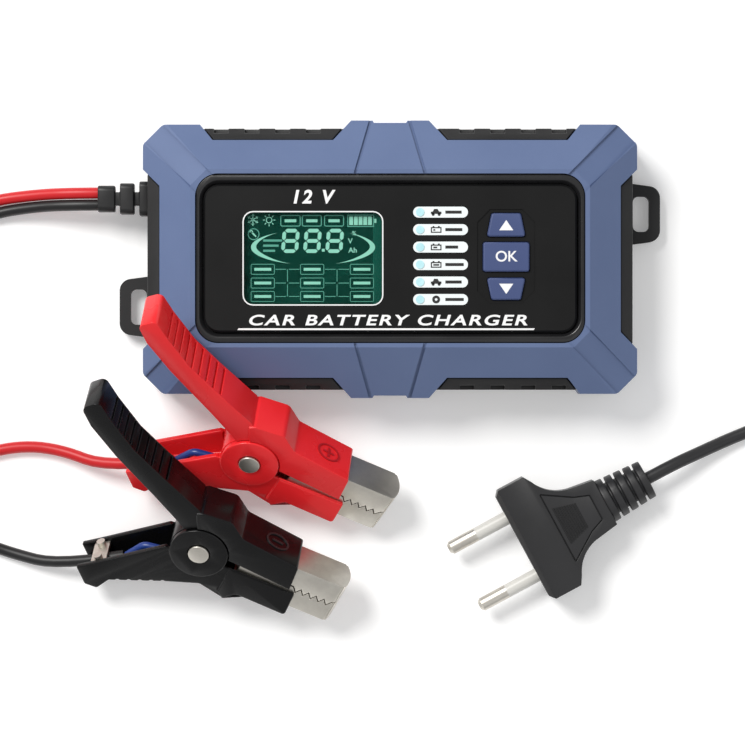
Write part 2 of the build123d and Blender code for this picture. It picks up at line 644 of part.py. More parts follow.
connector_rear = (176.7, 32.0, 4.7)
connector_heading = 92.9


def make_connector():
    nose = extrude(Plane.YZ.offset(14) * SlotOverall(13.8, 7.8), 12)
    for dy in (-4.3, 4.3):
        nose -= Pos(24, dy, 0) * Rot(0, 90, 0) * Cylinder(1.3, 12)
    grip = loft([Plane.YZ.offset(0) * RectangleRounded(7.0, 7.0, 2.4),
                 Plane.YZ.offset(14) * RectangleRounded(15.8, 9.2, 3.0)])
    x, y, z = connector_rear
    return Pos(x, y, z) * Rot(0, 0, connector_heading) * (grip + nose)


# ---- Cords --------------------------------------------------------------------------------
lead_coil_c, lead_coil_in, lead_coil_out = (-168.0, -32.0), 15.6, 38.0
mains_coil_c, mains_coil_in, mains_coil_out = (146.0, 3.0), 13.6, 33.0
coil_lift = 0.9                               # the tie's thickness under the turns
coil_layers = 2


def make_coil(centre, r_in, r_out, d):
    height = coil_layers * d + 0.2
    ring = Cylinder(r_out, height) - Cylinder(r_in, height + 2)
    return Pos(centre[0], centre[1], coil_lift + height / 2) * ring


def make_tie(centre, r_in, r_out, d, angle):
    height = coil_layers * d + 0.2
    mid, long = (r_in + r_out) / 2, r_out - r_in
    band = Box(long + 3.0, 8, height + 1.8)
    band = Pos(mid, 0, coil_lift + height / 2) * band
    band = Pos(centre[0], centre[1], 0) * Rot(0, 0, angle) * band
    return band - make_coil(centre, r_in, r_out, d)


red_wire_in = in_clamp(red_plane, low(wire_end, wire_seat))
red_wire_out = in_clamp(red_plane, low(wire_mouth, wire_seat))
black_wire_in = in_clamp(black_plane, low(wire_end, wire_seat))
black_wire_out = in_clamp(black_plane, low(wire_mouth, wire_seat))

plug_turn = math.radians(plug_heading)
cord_start = (plug_front[0] + (relief_end + 0.2) * math.cos(plug_turn),
              plug_front[1] + (relief_end + 0.2) * math.sin(plug_turn), plug_t / 2)
routes = {
    "red_lead": [(-83.9, 19.3, 9.5), (-91.0, 19.3, 9.5), (-102.0, 19.0, 5.4), (-117.0, 17.2, 1.9),
                 (-134.0, 9.6, 1.9), (-152.0, 4.5, 2.6)],
    "black_lead": [(-83.9, 15.9, 9.5), (-91.0, 15.9, 9.5), (-102.0, 15.6, 5.4), (-116.0, 13.6, 1.9),
                   (-130.0, 6.6, 1.9), (-145.2, 1.0, 2.6)],
    "red_tail": [(-145.2, -64.8, 5.2), (-140.0, -65.0, 3.6), (-131.0, -63.6, 1.9), (-120.0, -56.4, 1.9),
                 (-107.0, -53.4, 1.9), (-95.0, -54.6, 2.6), red_wire_out, red_wire_in],
    "black_tail": [(-151.1, -68.2, 5.2), (-140.0, -68.4, 3.4), (-131.0, -71.2, 1.9), (-119.0, -81.0, 1.9),
                   (-109.5, -84.6, 1.9), black_wire_out, black_wire_in],
    "mains_lead": [cord_start, (81.4, -59.0, 6.5), (89.6, -55.4, 3.8), (99.5, -51.0, 1.95),
                   (113.0, -45.8, 1.95), (128.0, -39.4, 2.1), (144.2, -32.4, 3.0)],
    "mains_tail": [(177.0, 19.6, 6.2), (177.0, 25.8, 5.0), (176.7, 31.8, 4.7)],
}


def make_splitter():
    block = box(-143.0, -134.0, -71.6, -61.8, 0.3, 7.4)
    block = fillet(block.edges().filter_by(Axis.X), 1.8)
    return block


# ---- Build --------------------------------------------------------------------------------
save(make_base_shell(), "base_shell")
save(make_top_shell(), "top_shell")
save(make_bumper_frame(), "bumper_frame")
save(make_panel_bezel(), "panel_bezel")
save(make_control_panel(), "control_panel")
for key in key_names:
    save(make_key(key), key)
for shape, node in zip(make_display(), ["lcd_backlight", "lcd_glass", "display_window"]):
    save(shape, node)
save(make_lenses(), "mode_lenses")
save(make_lamps(), "mode_lamps")
save(make_switches(), "tact_switches")
save(board(display_board_len, display_board_wid, display_board_z, panel_posts, 1.2), "display_board")
save(screws(panel_posts, display_board_z - 1.4, 1.4, 25.8, 1.9, 1.0), "display_screws")
save(board(main_board_len, main_board_wid, main_board_z, board_posts, 1.5), "main_board")
save(screws(board_posts, main_board_z + board_t + 1.6, 1.6, 3.2, 2.4, 1.2), "board_screws")
save(screws(boss_places, floor_z + 0.4, 2.0, 19.0, 2.9, 1.45), "case_screws")
save(Compound(children=[post(x, y, 0, floor_z, 5.0) for x, y in foot_places]), "rubber_feet")
for node, shape in make_main_board_parts().items():
    save(shape, node)
for shape, node in zip(make_inlet(), ["mains_inlet", "inlet_pins"]):
    save(shape, node)
save(make_gland(), "lead_gland")

shared = {"clamp_rivets": [], "clamp_springs": [], "cable_straps": [], "strap_screws": [], "link_wires": []}
for colour, plane in (("red", red_plane), ("black", black_plane)):
    save(plane.location * make_upper_shell(), f"{colour}_upper_shell")
    save(plane.location * make_lower_shell(), f"{colour}_lower_shell")
    save(plane.location * make_jaw(1), f"{colour}_upper_jaw")
    save(plane.location * make_jaw(-1), f"{colour}_lower_jaw")
    shared["clamp_rivets"].append(plane.location * make_rivet())
    shared["clamp_springs"].append(plane.location * make_spring())
    shared["cable_straps"].append(plane.location * make_strap())
    shared["strap_screws"] += [plane.location * s for s in make_strap_screws()]
    shared["link_wires"].append(plane.location * make_link_wire())
for node, pieces in shared.items():
    save(Compound(children=pieces), node)

for node, shape in make_plug().items():
    save(shape, node)
save(make_connector(), "mains_connector")
tubes = {}
for node, route in routes.items():
    tubes[node] = tube(route, mains_d if node.startswith("mains") else lead_d, node)
    save(tubes[node], node)
save(make_coil(lead_coil_c, lead_coil_in, lead_coil_out, lead_d), "lead_coil")
save(make_coil(mains_coil_c, mains_coil_in, mains_coil_out, mains_d), "mains_coil")
save(Compound(children=[make_tie(lead_coil_c, lead_coil_in, lead_coil_out, lead_d, 150),
                        make_tie(mains_coil_c, mains_coil_in, mains_coil_out, mains_d, 60)]), "cord_ties")
save(make_splitter() - tubes["red_tail"] - tubes["black_tail"], "lead_splitter")
print(f"clamp axes: red {red_plane.z_dir}, {red_plane.origin}; black {black_plane.z_dir}, {black_plane.origin}")
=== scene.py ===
import bmesh
import bpy
import json
import math
from mathutils import Matrix, Vector


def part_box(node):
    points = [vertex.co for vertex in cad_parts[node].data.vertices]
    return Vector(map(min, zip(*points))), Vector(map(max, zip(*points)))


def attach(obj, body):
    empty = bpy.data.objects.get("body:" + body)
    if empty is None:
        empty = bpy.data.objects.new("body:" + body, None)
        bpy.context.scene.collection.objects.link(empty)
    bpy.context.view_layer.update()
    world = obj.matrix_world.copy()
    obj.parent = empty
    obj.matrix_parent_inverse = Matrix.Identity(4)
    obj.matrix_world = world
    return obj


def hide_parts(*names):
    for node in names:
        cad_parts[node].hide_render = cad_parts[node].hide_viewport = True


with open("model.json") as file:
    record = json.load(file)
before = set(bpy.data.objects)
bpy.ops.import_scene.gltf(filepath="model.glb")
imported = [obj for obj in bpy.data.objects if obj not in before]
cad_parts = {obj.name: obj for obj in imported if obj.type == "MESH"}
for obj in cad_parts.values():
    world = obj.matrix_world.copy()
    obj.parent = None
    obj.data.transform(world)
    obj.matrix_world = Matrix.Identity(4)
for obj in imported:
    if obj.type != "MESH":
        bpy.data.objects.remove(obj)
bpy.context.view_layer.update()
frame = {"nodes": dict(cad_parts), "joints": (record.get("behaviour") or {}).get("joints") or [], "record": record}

mm = 0.001
nodes = frame["nodes"]
joints = {j["name"]: j for j in frame["joints"]}


# camera and light
view = {"centre": (-5.0, -32.3), "width": 212.9, "focus": 18.0, "height": 1250.0, "sensor": 36.0}
studio = {"floor": 3.0, "world": 0.5, "paperTone": 0.9, "paperGlow": 0.2}
lights = {"keyLight": {"place": (-0.75, 0.75, 1.3), "size": 0.75, "power": 24.0, "colour": (1, 0.99, 0.97)},
          "fillLight": {"place": (0.9, -0.4, 1.2), "size": 1.6, "power": 3.0, "colour": (0.97, 0.98, 1)}}


def makeCamera():
    data = bpy.data.cameras.new("camera")
    data.sensor_width = view["sensor"]
    data.lens = view["sensor"] * view["height"] / view["width"]
    data.clip_start, data.clip_end = 0.05, 20.0
    cam = bpy.data.objects.new("camera", data)
    x, y = view["centre"]
    cam.location = (x * mm, y * mm, (view["focus"] + view["height"]) * mm)
    bpy.context.scene.collection.objects.link(cam)
    bpy.context.scene.camera = cam


def addArea(name, light):  # aimed at the origin
    data = bpy.data.lights.new(name, "AREA")
    data.shape = "DISK"
    data.size, data.energy, data.color = light["size"], light["power"], light["colour"]
    lamp = bpy.data.objects.new(name, data)
    lamp.location = light["place"]
    lamp.rotation_euler = (-Vector(light["place"])).to_track_quat("-Z", "Y").to_euler()
    bpy.context.scene.collection.objects.link(lamp)


def makePaper():
    bm = bmesh.new()
    bmesh.ops.create_grid(bm, x_segments=1, y_segments=1, size=studio["floor"])
    mesh = bpy.data.meshes.new("floor")
    bm.to_mesh(mesh)
    bm.free()
    floor = bpy.data.objects.new("floor", mesh)
    bpy.context.scene.collection.objects.link(floor)
    paper = bpy.data.materials.new("paper")
    paper.use_nodes = True
    bsdf = paper.node_tree.nodes["Principled BSDF"]
    tone = studio["paperTone"]
    bsdf.inputs["Base Color"].default_value = (tone, tone, tone, 1)
    bsdf.inputs["Roughness"].default_value = 0.9
    bsdf.inputs["Emission Color"].default_value = (1, 1, 1, 1)
    bsdf.inputs["Emission Strength"].default_value = studio["paperGlow"]
    mesh.materials.append(paper)


def makeStudio():
    scene = bpy.context.scene
    scene.view_settings.view_transform = "Standard"
    world = bpy.data.worlds.new("studio")
    scene.world = world
    world.use_nodes = True
    sky = world.node_tree.nodes["Background"]
    sky.inputs["Color"].default_value = (1.0, 1.0, 1.0, 1)
    sky.inputs["Strength"].default_value = studio["world"]
    for name, light in lights.items():
        addArea(name, light)
    makePaper()


makeCamera()
makeStudio()
print("stage: camera and studio")


# shared effects, each a node group used by many finishes
def newGroup(name, ins, outs):
    group = bpy.data.node_groups.new(name, "ShaderNodeTree")
    for label, kind, value in ins:
        sock = group.interface.new_socket(name=label, in_out="INPUT", socket_type=kind)
        if value is not None:
            sock.default_value = value
    for label, kind in outs:
        group.interface.new_socket(name=label, in_out="OUTPUT", socket_type=kind)
    start = group.nodes.new("NodeGroupInput")
    end = group.nodes.new("NodeGroupOutput")
    return group, start, end


def noiseNode(tree, vector, scale, detail, rough=0.55):
    node = tree.nodes.new("ShaderNodeTexNoise")
    node.inputs["Detail"].default_value = detail
    node.inputs["Roughness"].default_value = rough
    tree.links.new(vector, node.inputs["Vector"])
    if isinstance(scale, bpy.types.NodeSocket):
        tree.links.new(scale, node.inputs["Scale"])
    else:
        node.inputs["Scale"].default_value = scale
    return node.outputs["Fac"]


def rangeNode(tree, value, low, high, start=0.3, stop=0.7):
    node = tree.nodes.new("ShaderNodeMapRange")
    node.inputs["From Min"].default_value = start
    node.inputs["From Max"].default_value = stop
    tree.links.new(value, node.inputs["Value"])
    for label, source in (("To Min", low), ("To Max", high)):
        if isinstance(source, bpy.types.NodeSocket):
            tree.links.new(source, node.inputs[label])
        else:
            node.inputs[label].default_value = source
    return node.outputs["Result"]


def mixNode(tree, factor, first, second):
    node = tree.nodes.new("ShaderNodeMix")
    node.data_type = "RGBA"
    tree.links.new(factor, node.inputs[0])
    for index, source in ((6, first), (7, second)):
        if isinstance(source, bpy.types.NodeSocket):
            tree.links.new(source, node.inputs[index])
        else:
            node.inputs[index].default_value = source
    return node.outputs[2]


def makeMouldGroup():  # spark-eroded grain, faint flow shading and uneven gloss
    group, start, end = newGroup("mouldedSkin", [
        ("Vector", "NodeSocketVector", None), ("Base", "NodeSocketColor", (0.5, 0.5, 0.5, 1)),
        ("Worn", "NodeSocketColor", (0.6, 0.6, 0.6, 1)), ("Grain Scale", "NodeSocketFloat", 1800.0),
        ("Patch Scale", "NodeSocketFloat", 60.0), ("Rough Low", "NodeSocketFloat", 0.35),
        ("Rough High", "NodeSocketFloat", 0.5)],
        [("Color", "NodeSocketColor"), ("Roughness", "NodeSocketFloat"), ("Height", "NodeSocketFloat")])
    grain = noiseNode(group, start.outputs["Vector"], start.outputs["Grain Scale"], 3.0)
    patch = noiseNode(group, start.outputs["Vector"], start.outputs["Patch Scale"], 4.0)
    speck = noiseNode(group, start.outputs["Vector"], 420.0, 6.0, 0.7)
    amount = rangeNode(group, patch, 0.0, 0.6)
    fleck = rangeNode(group, speck, 0.0, 1.0, 0.62, 0.78)
    colour = mixNode(group, amount, start.outputs["Base"], start.outputs["Worn"])
    colour = mixNode(group, fleck, colour, start.outputs["Worn"])
    rough = rangeNode(group, patch, start.outputs["Rough Low"], start.outputs["Rough High"])
    group.links.new(colour, end.inputs["Color"])
    group.links.new(rough, end.inputs["Roughness"])
    group.links.new(grain, end.inputs["Height"])
    return group


def makeMetalGroup():  # drawn or tumbled plating: fine lines, small pits, cloudy tone
    group, start, end = newGroup("platedMetal", [
        ("Vector", "NodeSocketVector", None), ("Base", "NodeSocketColor", (0.7, 0.68, 0.63, 1)),
        ("Dull", "NodeSocketColor", (0.5, 0.48, 0.44, 1)), ("Line Scale", "NodeSocketFloat", 900.0),
        ("Rough Low", "NodeSocketFloat", 0.18), ("Rough High", "NodeSocketFloat", 0.38)],
        [("Color", "NodeSocketColor"), ("Roughness", "NodeSocketFloat"), ("Height", "NodeSocketFloat")])
    stretch = group.nodes.new("ShaderNodeMapping")
    stretch.inputs["Scale"].default_value = (1.0, 0.12, 1.0)
    group.links.new(start.outputs["Vector"], stretch.inputs["Vector"])
    lines = noiseNode(group, stretch.outputs["Vector"], start.outputs["Line Scale"], 4.0)
    cloud = noiseNode(group, start.outputs["Vector"], 140.0, 5.0, 0.6)
    colour = mixNode(group, rangeNode(group, cloud, 0.0, 1.0), start.outputs["Base"], start.outputs["Dull"])
    rough = rangeNode(group, cloud, start.outputs["Rough Low"], start.outputs["Rough High"])
    group.links.new(colour, end.inputs["Color"])
    group.links.new(rough, end.inputs["Roughness"])
    group.links.new(lines, end.inputs["Height"])
    return group


mouldGroup = makeMouldGroup()
metalGroup = makeMetalGroup()


def finish(name, group, values, bump, **shader):
    mat = bpy.data.materials.new(name)
    mat.use_nodes = True
    tree = mat.node_tree
    bsdf = tree.nodes["Principled BSDF"]
    coord = tree.nodes.new("ShaderNodeTexCoord")
    skin = tree.nodes.new("ShaderNodeGroup")
    skin.node_tree = group
    tree.links.new(coord.outputs["Object"], skin.inputs["Vector"])
    for label, value in values.items():
        skin.inputs[label].default_value = value
    tree.links.new(skin.outputs["Color"], bsdf.inputs["Base Color"])
    tree.links.new(skin.outputs["Roughness"], bsdf.inputs["Roughness"])
    relief = tree.nodes.new("ShaderNodeBump")
    relief.inputs["Strength"].default_value = bump[0]
    relief.inputs["Distance"].default_value = bump[1]
    tree.links.new(skin.outputs["Height"], relief.inputs["Height"])
    tree.links.new(relief.outputs["Normal"], bsdf.inputs["Normal"])
    for label, value in shader.items():
        bsdf.inputs[label.replace("_", " ")].default_value = value
    return mat


def moulded(name, base, worn, rough, grain=1600.0, patch=45.0, bump=(0.25, 0.00006), **shader):
    return finish(name, mouldGroup, {
        "Base": (*base, 1), "Worn": (*worn, 1), "Grain Scale": grain, "Patch Scale": patch,
        "Rough Low": rough[0], "Rough High": rough[1]}, bump, **shader)


def metal(name, base, dull, rough, lines=900.0, bump=(0.12, 0.00003)):
    return finish(name, metalGroup, {
        "Base": (*base, 1), "Dull": (*dull, 1), "Line Scale": lines,
        "Rough Low": rough[0], "Rough High": rough[1]}, bump, Metallic=1.0)


def plain(name, colour, rough, **shader):
    mat = bpy.data.materials.new(name)
    mat.use_nodes = True
    bsdf = mat.node_tree.nodes["Principled BSDF"]
    bsdf.inputs["Base Color"].default_value = (*colour, 1)
    bsdf.inputs["Roughness"].default_value = rough
    for label, value in shader.items():
        bsdf.inputs[label.replace("_", " ")].default_value = value
    return mat


finishes = {
    "housing": moulded("housingBlack", (0.013, 0.013, 0.0135), (0.02, 0.02, 0.021), (0.42, 0.55), 1500,
                       Specular_IOR_Level=0.35),
    "bumper": moulded("bumperBlue", (0.098, 0.14, 0.265), (0.114, 0.16, 0.295), (0.4, 0.5), 1500,
                      bump=(0.2, 0.00005), Specular_IOR_Level=0.4),
    "trim": moulded("trimDark", (0.009, 0.009, 0.01), (0.016, 0.016, 0.017), (0.22, 0.34), 1200),
    "panel": moulded("panelFilm", (0.0035, 0.0035, 0.0036), (0.0055, 0.0055, 0.0057), (0.38, 0.46), 2600,
                     bump=(0.1, 0.00003), Specular_IOR_Level=0.22),
    "key": moulded("keyBlue", (0.052, 0.075, 0.185), (0.064, 0.092, 0.215), (0.36, 0.48), 1800,
                   Specular_IOR_Level=0.35),
    "red": moulded("clampRed", (0.76, 0.016, 0.02), (0.82, 0.026, 0.032), (0.22, 0.34), 700,
                   bump=(0.12, 0.00006), Specular_IOR_Level=0.4),
    "black": moulded("clampBlack", (0.0022, 0.0022, 0.0025), (0.0045, 0.0045, 0.005), (0.2, 0.32), 700,
                     bump=(0.12, 0.00006), Specular_IOR_Level=0.3),
    "plug": moulded("plugBlack", (0.016, 0.016, 0.017), (0.024, 0.024, 0.026), (0.36, 0.5), 1500,
                    Specular_IOR_Level=0.4),
    "gripBlack": moulded("gripBlack", (0.004, 0.004, 0.0045), (0.008, 0.008, 0.0085), (0.45, 0.6), 1500),
    "foot": moulded("footRubber", (0.02, 0.02, 0.02), (0.03, 0.03, 0.03), (0.7, 0.85), 2000),
    "sleeve": moulded("pinSleeve", (0.62, 0.61, 0.57), (0.7, 0.69, 0.66), (0.3, 0.4), 1500),
    "board": moulded("boardGreen", (0.01, 0.1, 0.045), (0.014, 0.13, 0.06), (0.3, 0.45), 900),
    "tape": moulded("windingTape", (0.6, 0.4, 0.06), (0.7, 0.5, 0.1), (0.3, 0.45), 700),
    "ferrite": moulded("ferrite", (0.04, 0.04, 0.042), (0.06, 0.06, 0.062), (0.5, 0.7), 2600),
    "can": moulded("canSleeve", (0.02, 0.035, 0.11), (0.03, 0.05, 0.14), (0.25, 0.4), 1200),
    "white": moulded("whitePlastic", (0.7, 0.7, 0.68), (0.76, 0.76, 0.75), (0.35, 0.5), 1400),
    "blueWire": moulded("linkSleeve", (0.012, 0.04, 0.22), (0.02, 0.06, 0.28), (0.25, 0.4), 1200),
    "nickel": metal("nickelPlate", (0.72, 0.69, 0.62), (0.56, 0.53, 0.48), (0.32, 0.46)),
    "steel": metal("zincSteel", (0.6, 0.6, 0.6), (0.45, 0.45, 0.46), (0.25, 0.42)),
    "alloy": metal("heatAlloy", (0.76, 0.76, 0.77), (0.64, 0.64, 0.65), (0.3, 0.45)),
    "lcd": moulded("displayGreen", (0.0, 0.078, 0.052), (0.0, 0.092, 0.062), (0.28, 0.34), 3000, 30.0,
                   (0.04, 0.00002), Specular_IOR_Level=0.2),
    "lens": moulded("lensWhite", (0.78, 0.84, 0.85), (0.86, 0.9, 0.9), (0.25, 0.35), 1500, 200.0),
    "lampGlow": moulded("lampGlow", (0.42, 0.72, 0.78), (0.6, 0.86, 0.9), (0.2, 0.3), 1500, 400.0),
    "aqua": moulded("segmentAqua", (0.23, 0.62, 0.47), (0.28, 0.68, 0.53), (0.35, 0.4), 2500, 300.0),
    "aquaDim": moulded("segmentDim", (0.07, 0.32, 0.235), (0.09, 0.38, 0.28), (0.35, 0.4), 2500, 300.0),
    "ink": moulded("inkWhite", (0.82, 0.82, 0.82), (0.88, 0.88, 0.88), (0.4, 0.5), 2500, 300.0),
    "inkBlack": moulded("inkBlack", (0.01, 0.01, 0.01), (0.015, 0.015, 0.015), (0.4, 0.5), 2500, 300.0),
    "markRed": moulded("markRed", (0.4, 0.006, 0.01), (0.46, 0.01, 0.014), (0.3, 0.4), 900),
    "markBlack": moulded("markBlack", (0.016, 0.016, 0.017), (0.022, 0.022, 0.023), (0.3, 0.4), 900),
    "glass": plain("windowPane", (0.01, 0.05, 0.04), 0.06, Alpha=0.05),
    "fuse": plain("fuseGlass", (0.95, 0.95, 0.95), 0.05, Transmission_Weight=0.7, IOR=1.3),
}
for name, base, worn in (("cableRed", (0.56, 0.01, 0.014), (0.64, 0.018, 0.022)),
                         ("cableBlack", (0.0105, 0.0105, 0.011), (0.017, 0.017, 0.018))):
    finishes[name] = moulded(name, base, worn, (0.36, 0.48), 500.0, 80.0, (0.1, 0.00005),
                             Specular_IOR_Level=0.4)

slotFinish = {
    "black_housing": "housing", "blue_bumper": "bumper", "dark_trim": "trim", "panel_black": "panel",
    "window_glass": "glass", "lcd_green": "lcd", "white_plastic": "white", "lens_white": "lens",
    "lamp_chip": "lampGlow", "blue_key": "key", "switch_black": "housing", "board_green": "board",
    "screw_steel": "steel", "foot_rubber": "foot", "ferrite": "ferrite", "winding_tape": "tape",
    "capacitor_sleeve": "can", "heat_aluminium": "alloy", "fuse_glass": "fuse", "black_plastic": "trim",
    "nickel": "nickel", "cable_red": "cableRed", "cable_black": "cableBlack", "tie_black": "foot",
    "plug_black": "plug", "sleeve_white": "sleeve", "clamp_red": "red", "clamp_black": "black",
    "wire_blue": "blueWire"}
slotOf = {s["node"]: s["material_slot"] for s in frame["record"]["subparts"]}


def dress(obj, finishName):
    obj.data.materials.clear()
    obj.data.materials.append(finishes[finishName])


for node, obj in nodes.items():
    dress(obj, slotFinish[slotOf[node]])
bodyOf = {n: b for b, members in frame["record"]["behaviour"]["bodies"].items() for n in members}
print("stage: finishes")


# clamps' own planes, from the hinges
clampHeading = math.atan2(-0.39, 0.92)
handle = {"lower": 220.0, "wireSeat": -1.6, "wireEnd": 24.0, "mouth": 44.0}


def clampMatrix(colour):
    joint = joints[colour + "_clamp_squeeze"]
    normal = Vector(joint["axis"]).normalized()
    ux, uy = math.cos(clampHeading), math.sin(clampHeading)
    along = Vector((ux, uy, -(normal.x * ux + normal.y * uy) / normal.z)).normalized()
    across = normal.cross(along)
    turn = Matrix((along, across, normal)).transposed().to_4x4()
    return Matrix.Translation(joint["pos_m"]) @ turn


def onLowerHandle(colour, s, t):
    a = math.radians(handle["lower"])
    point = Vector((s * math.cos(a) + t * math.sin(a), s * math.sin(a) - t * math.cos(a), 0))
    return tuple(clampMatrix(colour) @ (point * mm) / mm)


# cords, in millimetres, along the same points as the plain tubes that they replace
lead = {"d": 3.3, "coil": (-168.0, -32.0), "outer": 34.5, "inner": 19.2, "turns": 4.5, "start": 90.0,
        "low": 2.55, "high": 5.95, "half": 1.7, "perTurn": 14}
mains = {"d": 3.6, "coil": (146.0, 3.0), "outer": 31.0, "inner": 15.7, "start": 295.0, "sweep": 2945.0,
         "low": 2.7, "high": 6.4, "perTurn": 14, "plugFront": (38.1, -82.4), "plugHeading": 28.4,
         "reliefEnd": 41.2, "plugZ": 6.85}


def ease(x, start, stop):
    x = min(max((x - start) / (stop - start), 0.0), 1.0)
    return x * x * (3 - 2 * x)


def coilRadius(cord, fromMid, sweep):  # a flat coil wound in to its middle and out again
    return cord["inner"] + (cord["outer"] - cord["inner"]) * abs(fromMid) / (sweep / 2)


def onCircle(centre, radius, degrees, z):
    turn = math.radians(degrees)
    return (centre[0] + radius * math.cos(turn), centre[1] + radius * math.sin(turn), z)


def leadCoilPoints(side):  # side +1 is the red wire, outside on the way in and inside on the way out
    sweep = lead["turns"] * 360
    count = int(lead["turns"] * lead["perTurn"])
    swap, rise = ((-150, -60), (-240, -150)) if side > 0 else ((-150, -60), (-60, 30))
    points = []
    for i in range(count + 1):
        a = sweep * i / count
        fromMid = a - sweep / 2
        radius = coilRadius(lead, fromMid, sweep) + side * lead["half"] * (1 - 2 * ease(fromMid, *swap))
        z = lead["low"] + (lead["high"] - lead["low"]) * ease(fromMid, *rise)
        points.append(onCircle(lead["coil"], radius, lead["start"] + a, z))
    return points


def mainsCoilPoints():
    sweep = mains["sweep"]
    count = int(sweep / 360 * mains["perTurn"])
    points = []
    for i in range(count + 1):
        a = sweep * i / count
        fromMid = a - sweep / 2
        radius = coilRadius(mains, fromMid, sweep)
        z = mains["low"] + (mains["high"] - mains["low"]) * ease(fromMid, -50, 50)
        points.append(onCircle(mains["coil"], radius, mains["start"] + a, z))
    return points


plugTurn = math.radians(mains["plugHeading"])
plugPlace = Vector((*mains["plugFront"], mains["plugZ"])) * mm
plugSeat = Matrix.Translation(plugPlace) @ Matrix.Rotation(plugTurn, 4, "Z")
cordStart = (mains["plugFront"][0] + mains["reliefEnd"] * math.cos(plugTurn),
             mains["plugFront"][1] + mains["reliefEnd"] * math.sin(plugTurn), mains["plugZ"])
routes = {
    "redCable": [(-83.9, 19.3, 9.5), (-91.0, 19.3, 9.5), (-102.0, 19.0, 5.4), (-117.0, 17.2, 1.9),
                 (-134.0, 9.6, 1.9), (-152.0, 4.5, 2.6)] + leadCoilPoints(1) + [
                 (-145.2, -64.8, 5.2), (-140.0, -65.0, 3.6), (-131.0, -63.6, 1.9), (-120.0, -56.4, 1.9),
                 (-107.0, -53.4, 1.9), (-95.0, -54.6, 2.6),
                 onLowerHandle("red", handle["mouth"], handle["wireSeat"]),
                 onLowerHandle("red", handle["wireEnd"], handle["wireSeat"])],
    "blackCable": [(-83.9, 15.9, 9.5), (-91.0, 15.9, 9.5), (-102.0, 15.6, 5.4), (-116.0, 13.6, 1.9),
                   (-130.0, 6.6, 1.9), (-145.2, 1.0, 2.6)] + leadCoilPoints(-1) + [
                   (-151.1, -68.2, 5.2), (-140.0, -68.4, 3.4), (-131.0, -71.2, 1.9), (-119.0, -81.0, 1.9),
                   (-109.5, -84.6, 1.9), onLowerHandle("black", handle["mouth"], handle["wireSeat"]),
                   onLowerHandle("black", handle["wireEnd"], handle["wireSeat"])],
    "mainsCable": [cordStart, (81.4, -59.0, 6.5), (89.6, -55.4, 3.8), (99.5, -51.0, 1.95),
                   (113.0, -45.8, 1.95), (128.0, -39.4, 2.1), (144.2, -32.4, 3.0)] + mainsCoilPoints() + [
                   (177.0, 19.6, 6.2), (177.0, 25.8, 5.0), (176.7, 31.8, 4.7)],
}


def makeCable(name, diameter, finishName):
    curve = bpy.data.curves.new(name, "CURVE")
    curve.dimensions = "3D"
    spline = curve.splines.new("NURBS")
    points = routes[name]
    spline.points.add(len(points) - 1)
    for point, place in zip(spline.points, points):
        point.co = (*(Vector(place) * mm), 1)
    spline.order_u = 3
    spline.use_endpoint_u = True
    spline.resolution_u = 6
    curve.bevel_depth = diameter * mm / 2
    curve.bevel_resolution = 5
    curve.use_fill_caps = True
    curve.materials.append(finishes[finishName])
    cable = bpy.data.objects.new(name, curve)
    bpy.context.scene.collection.objects.link(cable)
    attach(cable, "charger")
    return cable


redCable = makeCable("redCable", lead["d"], "cableRed")
blackCable = makeCable("blackCable", lead["d"], "cableBlack")
mainsCable = makeCable("mainsCable", mains["d"], "plug")
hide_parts("red_lead", "red_tail", "lead_coil")
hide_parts("black_lead", "black_tail")
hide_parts("mains_lead", "mains_tail", "mains_coil")
print("stage: cords")


# mesh helpers
def pieceFrom(bm, name, finishName, body, smooth=False):
    mesh = bpy.data.meshes.new(name)
    bm.to_mesh(mesh)
    bm.free()
    if smooth:
        mesh.shade_smooth()
    obj = bpy.data.objects.new(name, mesh)
    bpy.context.scene.collection.objects.link(obj)
    mesh.materials.append(finishes[finishName])
    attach(obj, body)
    return obj


rounding = {"angle": 30.0, "segments": 3, "weld": 0.06, "flat": 0.6}


def roundedCopy(node, name, width):  # the moulded edge radius that the plain frame piece lacks
    bm = bmesh.new()
    bm.from_mesh(nodes[node].data)
    bmesh.ops.remove_doubles(bm, verts=bm.verts, dist=rounding["weld"] * mm)
    bmesh.ops.recalc_face_normals(bm, faces=bm.faces)
    bmesh.ops.dissolve_limit(bm, angle_limit=math.radians(rounding["flat"]), verts=bm.verts, edges=bm.edges)
    obj = pieceFrom(bm, name, slotFinish[slotOf[node]], bodyOf[node], smooth=True)
    bevel = obj.modifiers.new("edgeRadius", "BEVEL")
    bevel.limit_method = "ANGLE"
    bevel.angle_limit = math.radians(rounding["angle"])
    bevel.width = width * mm
    bevel.segments = rounding["segments"]
    bevel.harden_normals = True
    bevel.use_clamp_overlap = False
    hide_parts(node)


softened = {  # each width is under half of the narrowest groove in its piece
    "top_shell": ("topShell", 0.25), "panel_bezel": ("panelBezel", 0.2),
    "up_key": ("upKey", 0.25), "enter_key": ("enterKey", 0.25), "down_key": ("downKey", 0.25),
    "red_upper_shell": ("redUpperShell", 0.2), "red_lower_shell": ("redLowerShell", 0.35),
    "black_upper_shell": ("blackUpperShell", 0.2), "black_lower_shell": ("blackLowerShell", 0.35),
    "red_upper_jaw": ("redUpperJaw", 0.15), "red_lower_jaw": ("redLowerJaw", 0.15),
    "black_upper_jaw": ("blackUpperJaw", 0.15), "black_lower_jaw": ("blackLowerJaw", 0.15),
    "clamp_rivets": ("clampRivets", 0.3), "plug_body": ("plugBody", 0.14), "plug_relief": ("plugRelief", 0.3),
    "lead_gland": ("leadGland", 0.35), "mains_connector": ("mainsConnector", 0.4),
    "lead_splitter": ("leadSplitter", 0.2), "cord_ties": ("cordTies", 0.2)}
